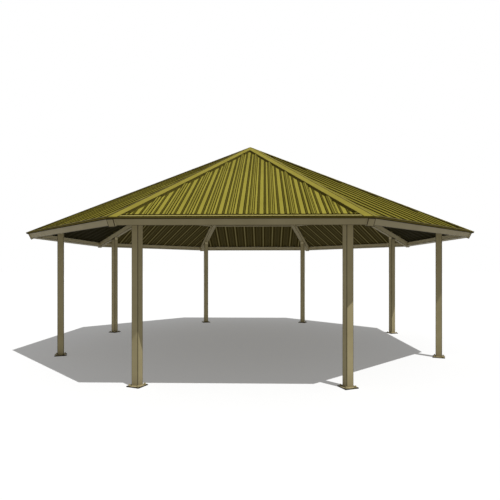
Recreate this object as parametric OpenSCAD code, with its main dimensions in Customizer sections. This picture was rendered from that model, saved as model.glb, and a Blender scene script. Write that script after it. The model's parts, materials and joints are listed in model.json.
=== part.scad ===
// Octagonal open pavilion of steel tube under a ribbed sheet roof.
// Eight columns carry eight hip beams that rise to a hub. Eave beams and two rings
// of purlins tie the hips. Ribbed sheets lie on them, lapped over one another, and
// folded caps and trims close the hips, the eaves and the peak.
// Millimetres, +Z up. The origin is the centre of the octagon, at floor level.
// Face 1 looks towards -Y, and the numbers run anticlockwise seen from above.
// Column 1 and hip 1 stand at the clockwise end of face 1.

/* [Layout] */
// Radius of the circle through the column centres
column_circle_r = 4400; // [3000:10:7000]
// Height of the columns, base plate and cap plate included
column_h = 2728; // [2100:1:3600]
// Rise of a roof face for one unit of run, along the middle of the face
roof_slope = 0.495; // [0.3:0.005:0.8]
// How far the eave trim reaches past the line between two column centres
eave_overhang = 624; // [300:1:1200]

/* [Columns] */
// Side of the square column tube
column_w = 127; // [90:1:200]
// Wall of the column tube
column_wall = 4.8; // [3:0.1:12]
// Side of the square base plate
base_plate_w = 241; // [200:1:340]
// Thickness of the base plate
base_plate_t = 16; // [10:1:30]
// Diameter of an anchor bolt hole
anchor_hole_d = 22; // [14:1:30]
// Distance from the centre of an anchor hole to the two plate edges next to it
anchor_edge = 36; // [25:1:45]
// Thickness of the cap plate
cap_plate_t = 12; // [8:1:20]
// Thickness of the plates of the wedge seat under a hip beam
seat_t = 8; // [5:1:12]
// Diameter of the wiring hole through the base plate and the cap plate
wiring_hole_d = 50; // [30:1:70]

/* [Roof beams] */
// Width of the hip beam tube
hip_w = 127; // [90:1:160]
// Depth of the hip beam tube, square to its slope
hip_d = 127; // [100:1:200]
// Height of the wedge seat under a hip beam at its low end
hip_seat_toe = 7.7; // [4:0.1:60]
// How deep the wedge seat is let into the wall of the hip tube, for its weld
seat_weld = 0.3; // [0.1:0.1:1]
// Distance from the corner of the eave trim back to the end of the hip beam
hip_end_setback = 40; // [25:1:120]
// Depth of the eave beam tube, square to the roof
eave_beam_d = 112; // [80:1:180]
// Width of the eave beam tube
eave_beam_w = 76; // [50:1:127]
// Distance from the outer edge of the eave trim back to the eave beam
eave_beam_setback = 35; // [25:1:80]
// Depth of the purlin tubes, square to the roof
purlin_d = 76; // [60:1:180]
// Width of the purlin tubes
purlin_w = 76; // [40:1:100]
// Wall of the hip, eave and purlin tubes
beam_wall = 4.8; // [3:0.1:10]
// Diameter of the weep hole at the low end of a hip beam
weep_hole_d = 12; // [8:1:20]
// Width of the hub between two opposite flats
hub_w = 437; // [400:1:700]
// Wall of the hub
hub_wall = 12; // [8:1:20]
// Clearance between the top of the hub and the sheets
hub_top_gap = 6; // [2:1:30]
// How far the hub reaches below the hip beams
hub_lip = 8; // [0:1:40]
// Diameter of the hole in the floor of the hub
hub_hole_d = 150; // [60:1:250]

/* [Roof sheets] */
// Thickness of the sheet steel in the roof sheets, caps and trims
sheet_t = 0.8; // [0.5:0.1:1.5]
// Height of a main rib
rib_h = 31.8; // [20:0.1:50]
// Distance between the centres of two main ribs
rib_pitch = 314; // [250:1:400]
// Width of a main rib at its foot
rib_foot_w = 86; // [50:1:100]
// Width of a main rib at its top
rib_top_w = 30; // [18:1:45]
// Height of a minor rib
minor_h = 5; // [3:0.5:10]
// Width of a minor rib at its foot
minor_foot_w = 38; // [25:1:45]
// Width of a minor rib at its top
minor_top_w = 20; // [10:1:24]
// Play between two lapped sheets
lap_play = 0.1; // [0.1:0.1:0.5]
// Half the width of the opening left between the sheets along a hip
hip_joint = 12; // [5:1:25]
// Width of one wing of a hip cap
hip_cap_w = 145; // [100:1:220]
// Width of the flange of the eave trim that lies on the ribs
trim_flange = 85; // [40:1:110]
// Height of the lower edge of the eave trim over the plane under the sheets
trim_lift = 2.3; // [-60:0.1:10]
// Distance from the face of the eave trim back to the ends of the sheets
sheet_end_gap = 14; // [8:1:20]
// Distance from the middle of the roof to the upper ends of the sheets
sheet_top_ap = 90; // [60:1:140]
// Distance from the middle of the roof to the upper ends of the hip caps
hip_cap_top_r = 75; // [50:1:120]
// Play between two neighbouring caps or trims
cap_play = 1; // [0.5:0.5:4]
// Width of the peak cap between two opposite flats
peak_cap_w = 300; // [200:1:500]
// Width of the blunt top of the peak cap between two opposite flats
peak_top_w = 36; // [30:1:120]

/* [Hidden] */
half = 22.5;                                   // half the angle of one face, in degrees
pitch_a = atan(roof_slope);                    // slope of a face
hip_slope = roof_slope * cos(half);
hip_a = atan(hip_slope);                       // slope of a hip
eave_ap = column_circle_r * cos(half) + eave_overhang;
eave_beam_ap = eave_ap - eave_beam_setback;
hip_end_r = eave_ap / cos(half) - hip_end_setback;
// Height of the seat at the column centre, so that it spans the whole cap plate
hip_seat_h = hip_seat_toe + hip_slope * column_w / 2;
// The purlin rings stand evenly between the eave beams and the hub
purlin_step = (eave_beam_ap - hub_w) / 3;
// Peak of the plane on which the sheets lie
hip_v = hip_d / cos(hip_a);                    // height of the hip tube, cut upright
hip_r = 1.5 * beam_wall;                       // outer corners of the tubes
// Fall of a face to each side of a hip, seen along the hip
hip_fall = atan(sin(pitch_a) * sin(half)
    / (sin(pitch_a) * cos(half) * sin(hip_a) + cos(pitch_a) * cos(hip_a)));
// Ridge of the plane above the top of the hip tube, whose corners touch the plane
hip_top = (hip_w / 2 - hip_r) * tan(hip_fall) + hip_r * (1 / cos(hip_fall) - 1);
hip_drop = hip_top / cos(hip_a);
peak_z = column_h + hip_seat_h + hip_v + hip_drop + hip_slope * column_circle_r;
// Levels over that plane, square to a face
rib_top_z = rib_h + 2 * sheet_t + lap_play;    // tops of the lapped ribs
cap_z = rib_top_z + sheet_t;                   // underside of the hip caps
// Distances down the slope from the peak, in the sheet plane
trim_y = (eave_ap - cap_z * sin(pitch_a)) / cos(pitch_a);
sheet_y = trim_y - sheet_end_gap;
rib_a = atan(rib_h / ((rib_foot_w - rib_top_w) / 2));
minor_a = atan(minor_h / ((minor_foot_w - minor_top_w) / 2));
sheets_each_side = ceil((eave_ap * tan(half) - 1.5 * rib_pitch) / (3 * rib_pitch));

steel = [0.44, 0.40, 0.31];
roof = [0.61, 0.57, 0.27];
trim_c = [0.47, 0.43, 0.17];

function hip_at(i) = -90 - half + 45 * (i - 1);
function face_at(k) = -90 + 45 * (k - 1);

// ---- Frames -------------------------------------------------------------------------

// Turns +X to the direction of a column or hip
module at_hip(i) {
    rotate([0, 0, hip_at(i)])
        children();
}

// Face frame: +X along the eave, +Y up the slope from the peak, +Z square to the sheet
module on_face(k) {
    rotate([0, 0, face_at(k) + 90])
        translate([0, 0, peak_z])
            rotate([pitch_a, 0, 0])
                children();
}

// Hip frame: +X down along the hip from the peak of the sheet plane, +Z square to it
module on_hip(i) {
    at_hip(i)
        translate([0, 0, peak_z])
            rotate([0, hip_a, 0])
                children();
}

// Upright wedge over face k, gap from both hip lines, from one apothem to another
module wedge(k, gap, ap0, ap1) {
    s = gap / cos(half);
    rotate([0, 0, face_at(k) + 90])
        translate([0, 0, -1])
            linear_extrude(2 * peak_z)
                polygon([[-ap0 * tan(half) + s, -ap0], [ap0 * tan(half) - s, -ap0],
                    [ap1 * tan(half) - s, -ap1], [-ap1 * tan(half) + s, -ap1]]);
}

// Octagon with its flats r from the centre, its first corner turned to angle a
module octagon(r, a) {
    polygon([for (k = [0 : 7]) r / cos(half) * [cos(45 * k + a), sin(45 * k + a)]]);
}

// Outline of a tube of width w and depth d, its outer corners rounded in three flats
module bar_outline(w, d, r) {
    polygon([for (q = [0 : 3]) for (a = [0 : 30 : 90])
        [(q == 0 || q == 3 ? w / 2 - r : r - w / 2) + r * cos(90 * q + a),
            (q < 2 ? d / 2 - r : r - d / 2) + r * sin(90 * q + a)]]);
}

module tube_outline(w, d, wall) {
    difference() {
        bar_outline(w, d, 1.5 * wall);
        square([w - 2 * wall, d - 2 * wall], center = true);
    }
}

// ---- Columns ------------------------------------------------------------------------

module column(i) {
    color(steel)
        at_hip(i)
            translate([column_circle_r, 0, 0]) {
                difference() {
                    translate([-base_plate_w / 2, -base_plate_w / 2, 0])
                        cube([base_plate_w, base_plate_w, base_plate_t]);
                    for (x = [-1, 1])
                        for (y = [-1, 1])
                            translate([x * (base_plate_w / 2 - anchor_edge),
                                y * (base_plate_w / 2 - anchor_edge), -1])
                                cylinder(h = base_plate_t + 2, d = anchor_hole_d, $fn = 24);
                    translate([0, 0, -1])
                        cylinder(h = base_plate_t + 2, d = wiring_hole_d, $fn = 32);
                }
                translate([0, 0, base_plate_t])
                    linear_extrude(column_h - base_plate_t - cap_plate_t)
                        tube_outline(column_w, column_w, column_wall);
                difference() {
                    translate([-column_w / 2, -column_w / 2, column_h - cap_plate_t])
                        cube([column_w, column_w, cap_plate_t]);
                    translate([0, 0, column_h - cap_plate_t - 1])
                        cylinder(h = cap_plate_t + 2, d = wiring_hole_d, $fn = 32);
                }
            }
}

// ---- Hip beams and hub --------------------------------------------------------------

// Hip tube with an end plate at the eave, and the wedge seat that stands on the column cap
module hip_beam(i) {
    end_x = hip_end_r / cos(hip_a) - hip_drop * sin(hip_a);
    color(steel) {
        difference() {
            on_hip(i)
                translate([0, 0, -hip_top - hip_d / 2])
                    rotate([90, 0, 90])
                        difference() {
                            linear_extrude(end_x)
                                bar_outline(hip_w, hip_d, hip_r);
                            translate([0, 0, -1])
                                linear_extrude(end_x - beam_wall + 1)
                                    square([hip_w - 2 * beam_wall, hip_d - 2 * beam_wall],
                                        center = true);
                        }
            // Upright cut against the hub
            at_hip(i)
                translate([-hub_w, -hip_w, peak_z - 3 * hip_v - hub_w])
                    cube([hub_w * 1.5, 2 * hip_w, 3 * hip_v + 2 * hub_w]);
            // Wiring hole over the column, and a weep hole at the low end
            at_hip(i)
                translate([column_circle_r, 0, column_h])
                    cylinder(h = hip_seat_h + hip_v / 2, d = wiring_hole_d, $fn = 32);
            on_hip(i)
                translate([end_x - 3 * weep_hole_d, 0, -hip_top - hip_d - 1])
                    cylinder(h = 2 * beam_wall + 1, d = weep_hole_d, $fn = 16);
        }
        hip_seat(i);
    }
}

// Welded wedge of plate: level underneath, cut to the slope of the hip on top
module hip_seat(i) {
    l = column_w;
    top = column_h + hip_seat_h + seat_weld;   // at the column centre
    difference() {
        at_hip(i)
            translate([column_circle_r, hip_w / 2, 0])
                rotate([90, 0, 0])
                    linear_extrude(hip_w)
                        polygon([[-l / 2, column_h], [l / 2, column_h],
                            [l / 2, top - hip_slope * l / 2],
                            [-l / 2, top + hip_slope * l / 2]]);
        at_hip(i)
            translate([column_circle_r - l / 2 + seat_t, -hip_w / 2 + seat_t,
                column_h + seat_t])
                cube([l - 2 * seat_t, hip_w - 2 * seat_t, hip_v]);
        at_hip(i)
            translate([column_circle_r, 0, column_h - 1])
                cylinder(h = hip_v, d = wiring_hole_d, $fn = 32);
    }
}

module hub() {
    r = hub_w / 2;
    top = peak_z - roof_slope * r / cos(half) - hub_top_gap;
    bottom = peak_z - hip_drop - hip_v - hip_slope * r - hub_lip;
    color(steel)
        difference() {
            translate([0, 0, bottom])
                linear_extrude(top - bottom)
                    octagon(r, 0);
            translate([0, 0, bottom + hub_wall])
                linear_extrude(top - bottom)
                    octagon(r - hub_wall, 0);
            translate([0, 0, bottom - 1])
                cylinder(h = hub_wall + 2, d = hub_hole_d, $fn = 48);
        }
}

// ---- Eave beams and purlins ---------------------------------------------------------

// Tube along face k, its top in the sheet plane, its ends cut to fit between two hips
module cross_tube(k, ap, w, d) {
    color(steel)
        intersection() {
            on_face(k)
                translate([-ap, -ap / cos(pitch_a) + w / 2, -d / 2])
                    rotate([90, 0, 90])
                        linear_extrude(2 * ap)
                            tube_outline(w, d, beam_wall);
            wedge(k, hip_w / 2, hip_w, ap + d + w);
        }
}

module eave_beam(k) {
    cross_tube(k, eave_beam_ap, eave_beam_w, eave_beam_d);
}

// Ring of purlins, counted from the eave
module purlins(row) {
    for (k = [1 : 8])
        cross_tube(k, eave_beam_ap - row * purlin_step, purlin_w, purlin_d);
}

// ---- Roof sheets --------------------------------------------------------------------

// One rib as a run of points over a flat at height z; e widens it for the outer skin
function rib(x, foot, top, h, e, z) =
    [[x - foot / 2 - e, z], [x - top / 2 - e, z + h], [x + top / 2 + e, z + h],
        [x + foot / 2 + e, z]];

// The two minor ribs after the main rib at x
function minors(x, e, z) = concat(
    rib(x + rib_pitch / 3, minor_foot_w, minor_top_w, minor_h, e, z),
    rib(x + rib_pitch * 2 / 3, minor_foot_w, minor_top_w, minor_h, e, z));

// Lapped rib at the start of a sheet, off from the rib under it by g. It ends in a free
// edge on the far side and runs into the sheet's own flat, at height z, on this side.
function lap_rib(x, g, z) =
    [[x - rib_foot_w / 2 - g * tan(rib_a / 2), g],
        [x - rib_top_w / 2 - g * tan(rib_a / 2), rib_h + g],
        [x + rib_top_w / 2 + g * tan(rib_a / 2), rib_h + g],
        [x + rib_foot_w / 2 + g / sin(rib_a) - z / tan(rib_a), z]];

// Lower or upper skin of one sheet that starts over the rib at x and spans three pitches
function skin(x, g, e_main, e_minor, z) = concat(lap_rib(x, g, z), minors(x, e_minor, z),
    rib(x + rib_pitch, rib_foot_w, rib_top_w, rib_h, e_main, z),
    minors(x + rib_pitch, e_minor, z),
    rib(x + 2 * rib_pitch, rib_foot_w, rib_top_w, rib_h, e_main, z),
    minors(x + 2 * rib_pitch, e_minor, z),
    rib(x + 3 * rib_pitch, rib_foot_w, rib_top_w, rib_h, e_main, z));

function backwards(p) = [for (i = [len(p) - 1 : -1 : 0]) p[i]];

module sheet_outline(x) {
    low = skin(x, sheet_t + lap_play, 0, 0, 0);
    high = skin(x, 2 * sheet_t + lap_play, sheet_t * tan(rib_a / 2),
        sheet_t * tan(minor_a / 2), sheet_t);
    polygon(concat(low, backwards(high)));
}

module roof_face(k) {
    color(roof)
        for (j = [-sheets_each_side : sheets_each_side])
            intersection() {
                on_face(k)
                    rotate([90, 0, 0])
                        linear_extrude(sheet_y)
                            sheet_outline((3 * j - 1.5) * rib_pitch);
                wedge(k, hip_joint, sheet_top_ap, eave_ap + rib_h);
            }
}

// ---- Caps and trims -----------------------------------------------------------------

// Folded sheet over one hip, from under the peak cap to the edge of the eave trim
module hip_cap(i) {
    w = hip_cap_w * cos(hip_fall);
    z0 = cap_z / cos(hip_fall);
    z1 = (cap_z + sheet_t) / cos(hip_fall);
    edge = w * tan(hip_fall);
    color(roof)
        intersection() {
            on_hip(i)
                rotate([90, 0, 90])
                    linear_extrude(2 * eave_ap)
                        polygon([[-w, z0 - edge], [0, z0], [w, z0 - edge],
                            [w, z1 - edge], [0, z1], [-w, z1 - edge]]);
            // From the middle of one face to the middle of the next, and out to the eave
            at_hip(i)
                linear_extrude(peak_z + hip_v)
                    kite(hip_cap_top_r, eave_ap, cap_play / 2);
        }
}

// Plan of the roof on both sides of a hip, from radius r0 to the eave. It ends at the
// middle lines of the two faces, less the play.
module kite(r0, ap, play) {
    s = play / cos(half);
    polygon([[r0, -r0 * tan(half) + s], [ap * cos(half), -ap * sin(half) + s],
        [ap / cos(half), 0], [ap * cos(half), ap * sin(half) - s],
        [r0, r0 * tan(half) - s]]);
}

// Folded angle along each eave: a flange on the ribs and a face hanging from its edge
module eave_trim() {
    color(trim_c)
        for (k = [1 : 8])
            intersection() {
                on_face(k)
                    translate([-eave_ap, -trim_y, 0])
                        rotate([90, 0, 90])
                            linear_extrude(2 * eave_ap)
                                polygon([[0, trim_lift], [sheet_t, trim_lift],
                                    [sheet_t, rib_top_z], [trim_flange, rib_top_z],
                                    [trim_flange, cap_z], [0, cap_z]]);
                wedge(k, cap_play / 2, hip_w, eave_ap + rib_h);
            }
}

// Low eight-sided cap over the ends of the hip caps, blunt at the top
module peak_cap() {
    r = peak_cap_w / 2;
    top_r = peak_top_w / 2;
    z = cap_z + sheet_t;
    color(roof) {
        for (k = [1 : 8])
            intersection() {
                on_face(k)
                    translate([-r, -r / cos(pitch_a), z])
                        cube([2 * r, r / cos(pitch_a), sheet_t]);
                wedge(k, 0, top_r, r);
            }
        translate([0, 0, peak_z + z / cos(pitch_a) - roof_slope * top_r])
            linear_extrude(2 * sheet_t)
                octagon(top_r + sheet_t, half);
    }
}

column(1);  // column_1
column(2);  // column_2
column(3);  // column_3
column(4);  // column_4
column(5);  // column_5
column(6);  // column_6
column(7);  // column_7
column(8);  // column_8
hip_beam(1);  // hip_beam_1
hip_beam(2);  // hip_beam_2
hip_beam(3);  // hip_beam_3
hip_beam(4);  // hip_beam_4
hip_beam(5);  // hip_beam_5
hip_beam(6);  // hip_beam_6
hip_beam(7);  // hip_beam_7
hip_beam(8);  // hip_beam_8
hub();
eave_beam(1);  // eave_beam_1
eave_beam(2);  // eave_beam_2
eave_beam(3);  // eave_beam_3
eave_beam(4);  // eave_beam_4
eave_beam(5);  // eave_beam_5
eave_beam(6);  // eave_beam_6
eave_beam(7);  // eave_beam_7
eave_beam(8);  // eave_beam_8
purlins(1);  // lower_purlins
purlins(2);  // upper_purlins
roof_face(1);  // roof_face_1
roof_face(2);  // roof_face_2
roof_face(3);  // roof_face_3
roof_face(4);  // roof_face_4
roof_face(5);  // roof_face_5
roof_face(6);  // roof_face_6
roof_face(7);  // roof_face_7
roof_face(8);  // roof_face_8
hip_cap(1);  // hip_cap_1
hip_cap(2);  // hip_cap_2
hip_cap(3);  // hip_cap_3
hip_cap(4);  // hip_cap_4
hip_cap(5);  // hip_cap_5
hip_cap(6);  // hip_cap_6
hip_cap(7);  // hip_cap_7
hip_cap(8);  // hip_cap_8
eave_trim();
peak_cap();
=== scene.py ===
# %% [markdown]
# # An open pavilion with an eight-sided roof
# The real thing is a park shelter: eight square steel columns, a frame of steel tube above
# them, and ribbed sheet steel screwed on top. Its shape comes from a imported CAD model, which
# is loaded here and never moved. What Blender adds is what CAD left out: paint, foam, screws,
# bolts and welds. Everything is in metres, with the floor at Z = 0.

# %% Load the frame
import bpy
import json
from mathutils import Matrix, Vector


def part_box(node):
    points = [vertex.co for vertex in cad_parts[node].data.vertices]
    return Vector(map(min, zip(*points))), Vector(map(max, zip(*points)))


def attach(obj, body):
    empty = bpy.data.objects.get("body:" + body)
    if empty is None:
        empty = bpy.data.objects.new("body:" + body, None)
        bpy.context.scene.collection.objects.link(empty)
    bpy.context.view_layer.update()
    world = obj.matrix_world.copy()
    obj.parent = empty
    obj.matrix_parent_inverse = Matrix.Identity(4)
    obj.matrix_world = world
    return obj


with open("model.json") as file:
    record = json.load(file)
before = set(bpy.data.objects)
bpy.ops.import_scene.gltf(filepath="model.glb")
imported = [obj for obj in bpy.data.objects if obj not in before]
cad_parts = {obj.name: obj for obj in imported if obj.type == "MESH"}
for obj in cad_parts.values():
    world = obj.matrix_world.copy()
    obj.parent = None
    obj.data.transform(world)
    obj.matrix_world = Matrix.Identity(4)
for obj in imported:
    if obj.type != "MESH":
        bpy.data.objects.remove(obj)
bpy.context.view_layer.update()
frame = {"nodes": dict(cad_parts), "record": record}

# %% [markdown]
# The rest of the script needs Blender's own modules, some trigonometry, and vectors and
# matrices. A matrix is the handiest way to put a small piece on a sloping roof: it holds the
# turn and the place together, and two of them are joined with the @ sign.

# %% Bring in the tools
import bpy
import bmesh
import json
from math import atan, ceil, cos, pi, radians, sin, tan
from mathutils import Matrix, Vector

scene = bpy.context.scene
parts = frame["nodes"]
print(len(parts), "CAD nodes:", ", ".join(sorted(parts)[:4]), "...")

# %% [markdown]
# ## Sizes
# A roof is laid out from a few numbers. The ones below are the stock sizes that the frame is
# built from, and places are then read from the CAD boxes, so that the screws stay on the
# ribs wherever the roof is. The peak of the plane under the sheets is found from the eave
# trim, because the top of its outer edge lies in a plane that is parallel to the sheets.

# %% Measure the roof
SLOPE = 0.495
SHEET = 0.0008
RIB_HEIGHT, RIB_PITCH, RIB_FOOT, RIB_TOP = 0.0318, 0.314, 0.086, 0.030
LAP_PLAY = 0.0001
TRIM_FLANGE, CAP_WING = 0.085, 0.145
TUBE_WIDE, TUBE_DEEP, TUBE_NARROW = 0.127, 0.127, 0.076
BEAM_DEEP, PURLIN_DEEP = 0.112, 0.076
PLATE_HALF, PLATE_THICK = 0.1205, 0.016

half = radians(22.5)
pitch = atan(SLOPE)
hip_pitch = atan(SLOPE * cos(half))
hip_fall = atan(sin(pitch) * sin(half) / (sin(pitch) * cos(half) * sin(hip_pitch)
    + cos(pitch) * cos(hip_pitch)))
cap_level = RIB_HEIGHT + 3 * SHEET + LAP_PLAY
eave_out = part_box("eave_trim")[1].y
trim_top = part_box("eave_trim")[1].z - TRIM_FLANGE * sin(pitch)
peak_z = trim_top + SLOPE * eave_out - cap_level / cos(pitch)
trim_down = (eave_out - cap_level * sin(pitch)) / cos(pitch)
print("peak of the sheet plane", round(peak_z, 4), "eave", round(eave_out, 4))

# %% [markdown]
# Three rings of tube cross each face: the eave beam and two purlins. Their distance from the
# middle of the pavilion is read from the boxes of the pieces in front, on face 1, and turned
# into a distance down the slope. The tubes have rounded corners, so the box falls a little
# short of the sharp corner that they were drawn from.

# %% Find the tubes under a face
TUBE_CORNER = 0.0072


def slope_distance(node):
    """How far down the slope the middle of a cross tube of face 1 lies."""
    sharp = -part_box(node)[0].y + TUBE_CORNER * (cos(pitch) + sin(pitch) - 1)
    return sharp / cos(pitch) - TUBE_NARROW / 2


tube_lines = [slope_distance(n) for n in ("eave_beam_1", "lower_purlins", "upper_purlins")]
print("tubes down the slope", [round(d, 3) for d in tube_lines])

# %% [markdown]
# ## Frames to build in
# Each face and each hip gets a frame of its own. In a face frame, X runs along the eave, Y
# climbs to the peak and Z stands square to the sheet, so a screw is simply set at (x, y, z).
# A column frame stands on the floor with X pointing away from the middle of the pavilion.
# The mounts in the record say where the column centres are.

# %% Make the frames
def turn_z(angle):
    return Matrix.Rotation(angle, 4, "Z")


def face_frame(k):
    turn = turn_z(radians(45 * (k - 1)))
    return turn @ Matrix.Translation((0, 0, peak_z)) @ Matrix.Rotation(pitch, 4, "X")


anchors = [m for m in frame["record"]["mounts"] if m["kind"] == "bolt_pattern"]


def column_frame(i):
    x, y, _ = anchors[i - 1]["pos_m"]
    return Matrix.Translation((x, y, 0)) @ turn_z(Vector((x, y)).angle_signed(Vector((1, 0))))


column_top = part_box("column_1")[1].z
print("columns", len(anchors), "their tops at", round(column_top, 3))

# %% [markdown]
# ## Camera
# The camera stands where a visitor would, a little over eye height and nearly square to one
# side. It stays level, so that the columns stay upright, and a small vertical shift moves the
# roof into the picture, as with an architect's lens. Tilting the camera instead would make
# the columns lean.

# %% Place the camera
camera_data = bpy.data.cameras.new("visitor_view")
camera_data.lens = 31.02
camera_data.shift_x, camera_data.shift_y = -0.0079, 0.0358
camera = bpy.data.objects.new("visitor_view", camera_data)
camera.location = (0.3598, -10.937, 1.897)
camera.rotation_euler = (radians(90), 0, radians(1.403))
scene.collection.objects.link(camera)
scene.camera = camera
print("camera", [round(c, 2) for c in camera.location])

# %% [markdown]
# ## Node helpers
# A material is a small network. Building one in code reads best when each node is one line
# with its settings, and each wire another. These helpers keep it that short: one adds a node,
# one wires two sockets, one does a sum, and two start a node group and place it in a material.
# A group has named inputs and outputs, and here they are all numbers.

# %% Helpers for materials
def node(tree, kind, at, values=None, **settings):
    made = tree.nodes.new("ShaderNode" + kind)
    made.location = (at[0] * 200, at[1] * 200)
    for name, value in settings.items():
        setattr(made, name, value)
    for socket, value in (values or {}).items():
        made.inputs[socket].default_value = value
    return made


def wire(tree, start, end):
    tree.links.new(start, end)


def maths(tree, at, operation, first, second=None, clamp=False):
    """A Math node whose inputs are sockets or numbers. It returns its output socket."""
    made = node(tree, "Math", at, operation=operation, use_clamp=clamp)
    for slot, given in enumerate((first, second)):
        if isinstance(given, bpy.types.NodeSocket):
            wire(tree, given, made.inputs[slot])
        elif given is not None:
            made.inputs[slot].default_value = given
    return made.outputs[0]


def start_group(name, inputs, outputs):
    """A node group whose sockets are all numbers. Each input is given with its first value."""
    tree = bpy.data.node_groups.new(name, "ShaderNodeTree")
    for label, value in inputs.items():
        socket = tree.interface.new_socket(label, in_out="INPUT", socket_type="NodeSocketFloat")
        socket.default_value = value
    for label in outputs:
        tree.interface.new_socket(label, in_out="OUTPUT", socket_type="NodeSocketFloat")
    return tree, tree.nodes.new("NodeGroupInput"), tree.nodes.new("NodeGroupOutput")


def use_group(tree, group, at, values=None):
    return node(tree, "Group", at, values, node_tree=group)


print("node helpers ready")

# %% [markdown]
# ## Paint grain, shared by every coat
# Powder coat dries with a fine pebbled skin, and factory-painted sheet has the same, only
# finer. Both also drift in tone over half a metre or so. A noise texture at two sizes gives
# this: the small one is a height for a Bump node, the large one a mask for the colour. As a
# group it is built once, and each coat sets its own sizes.

# %% Build the paint grain
paint_grain, grain_in, grain_out = start_group("paint_grain",
    {"Pebble Size": 0.002, "Drift Size": 0.5}, ["Height", "Drift"])
grain_place = node(paint_grain, "TexCoord", (-4, 0))
pebbles = node(paint_grain, "TexNoise", (-1, 1), {"Detail": 2.0})
drift = node(paint_grain, "TexNoise", (-1, -1), {"Detail": 4.0})
for noise, size in ((pebbles, "Pebble Size"), (drift, "Drift Size")):
    wire(paint_grain, grain_place.outputs["Object"], noise.inputs["Vector"])
    wire(paint_grain, maths(paint_grain, (-2, 0), "DIVIDE", 1.0, grain_in.outputs[size]),
        noise.inputs["Scale"])
wire(paint_grain, pebbles.outputs["Fac"], grain_out.inputs["Height"])
wire(paint_grain, drift.outputs["Fac"], grain_out.inputs["Drift"])
print("group", paint_grain.name, "with", len(paint_grain.nodes), "nodes")

# %% [markdown]
# ## Colours and masks
# Colours are written as they show on screen, and made linear for the socket. A mask is a value
# from 0 to 1 that says where a second colour goes. Each helper stands for one common step.

# %% Helpers for colours and masks
def srgb(r, g, b):
    """A colour given as it shows on screen, 0 to 255, made linear for a socket."""
    def line(c):
        c = c / 255
        return c / 12.92 if c <= 0.04045 else ((c + 0.055) / 1.055) ** 2.4
    return (line(r), line(g), line(b), 1.0)


def start_material(name, roughness, specular=0.5, ior=1.5):
    made = bpy.data.materials.new(name)
    made.use_nodes = True
    made.node_tree.nodes.clear()
    shader = node(made.node_tree, "BsdfPrincipled", (5, 0), {"Roughness": roughness,
        "Specular IOR Level": specular, "IOR": ior})
    output = node(made.node_tree, "OutputMaterial", (7, 0))
    wire(made.node_tree, shader.outputs[0], output.inputs["Surface"])
    return made, made.node_tree, shader


def blend(tree, at, amount, first, second):
    """A colour mix. Each of the three may be a socket or a value."""
    made = node(tree, "Mix", at, data_type="RGBA")
    for slot, given in ((0, amount), (6, first), (7, second)):
        if isinstance(given, bpy.types.NodeSocket):
            wire(tree, given, made.inputs[slot])
        else:
            made.inputs[slot].default_value = given
    return made.outputs[2]


def span(tree, at, value, low, high, to_low=0.0, to_high=1.0):
    """Stretches a value from one range to another, and clamps it there."""
    made = node(tree, "MapRange", at, {"From Min": low, "From Max": high, "To Min": to_low,
        "To Max": to_high})
    wire(tree, value, made.inputs["Value"])
    return made.outputs["Result"]


def size_of(tree, at, value):
    """A value without its sign."""
    return maths(tree, at, "ABSOLUTE", value)


def greatest(tree, at, first, *others):
    """The greatest of several values. Of masks, it covers what any of them covers."""
    made = first
    for other in others:
        made = maths(tree, at, "MAXIMUM", made, other)
    return made


def overlap(tree, at, first, second):
    """Where two masks both are."""
    return maths(tree, at, "MULTIPLY", first, second)


def bump(tree, at, height, strength, distance, shader):
    made = node(tree, "Bump", at, {"Strength": strength, "Distance": distance})
    wire(tree, height, made.inputs["Height"])
    wire(tree, made.outputs["Normal"], shader.inputs["Normal"])


def normal_up(tree, at):
    """1 where a surface faces the sky, 0 where it is upright, -1 where it faces the floor."""
    geometry = node(tree, "NewGeometry", (at[0] - 1, at[1]))
    xyz = node(tree, "SeparateXYZ", at)
    wire(tree, geometry.outputs["Normal"], xyz.inputs[0])
    return xyz.outputs["Z"]


def looks_down(tree, at):
    """A mask that is 1 where a surface faces the floor."""
    return maths(tree, at, "LESS_THAN", normal_up(tree, (at[0] - 1, at[1])), -0.05)


print("colour helpers ready")

# %% [markdown]
# ## Where a point lies on the pavilion
# Painted shade gathers along folds, edges and corners, and rain splashes soil on the feet of
# the columns. To paint them, a material has to know where on its piece a point lies. The
# pavilion repeats every eighth of a turn, so one group can serve every piece: it rounds the
# compass angle of a point to the nearest face, or to the nearest hip when it starts half an
# eighth later, and measures from there. Across runs along the eave, Down runs down the slope
# from the peak, and Below is the depth under that slope. East says which way the face looks: 1
# to the right, -1 to the left.

# %% Build the place finder
eighth_place, place_in, place_out = start_group("eighth_place",
    {"Turn": 0.0, "Slope": pitch, "Peak": peak_z}, ["Across", "Out", "Down", "Below", "East"])


def place_maths(at, operation, first, second=None):
    return maths(eighth_place, at, operation, first, second)


place_point = node(eighth_place, "TexCoord", (-9, 0))
place_xyz = node(eighth_place, "SeparateXYZ", (-8, 0))
wire(eighth_place, place_point.outputs["Object"], place_xyz.inputs[0])
east, north, height = place_xyz.outputs
turn, slope, peak = (place_in.outputs[label] for label in ("Turn", "Slope", "Peak"))
compass = place_maths((-7, 0), "SUBTRACT", place_maths((-7, 1), "ARCTAN2", north, east), turn)
eighth = place_maths((-6, 0), "ROUND", place_maths((-6, 1), "DIVIDE", compass, pi / 4))
towards = place_maths((-5, 0), "ADD", place_maths((-5, 1), "MULTIPLY", eighth, pi / 4), turn)
east_share = place_maths((-4, 1), "COSINE", towards)
north_share = place_maths((-4, -1), "SINE", towards)
out = place_maths((-2, 1), "ADD", place_maths((-3, 2), "MULTIPLY", east, east_share),
    place_maths((-3, 1), "MULTIPLY", north, north_share))
across = place_maths((-2, -1), "SUBTRACT", place_maths((-3, -1), "MULTIPLY", north, east_share),
    place_maths((-3, -2), "MULTIPLY", east, north_share))
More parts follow.
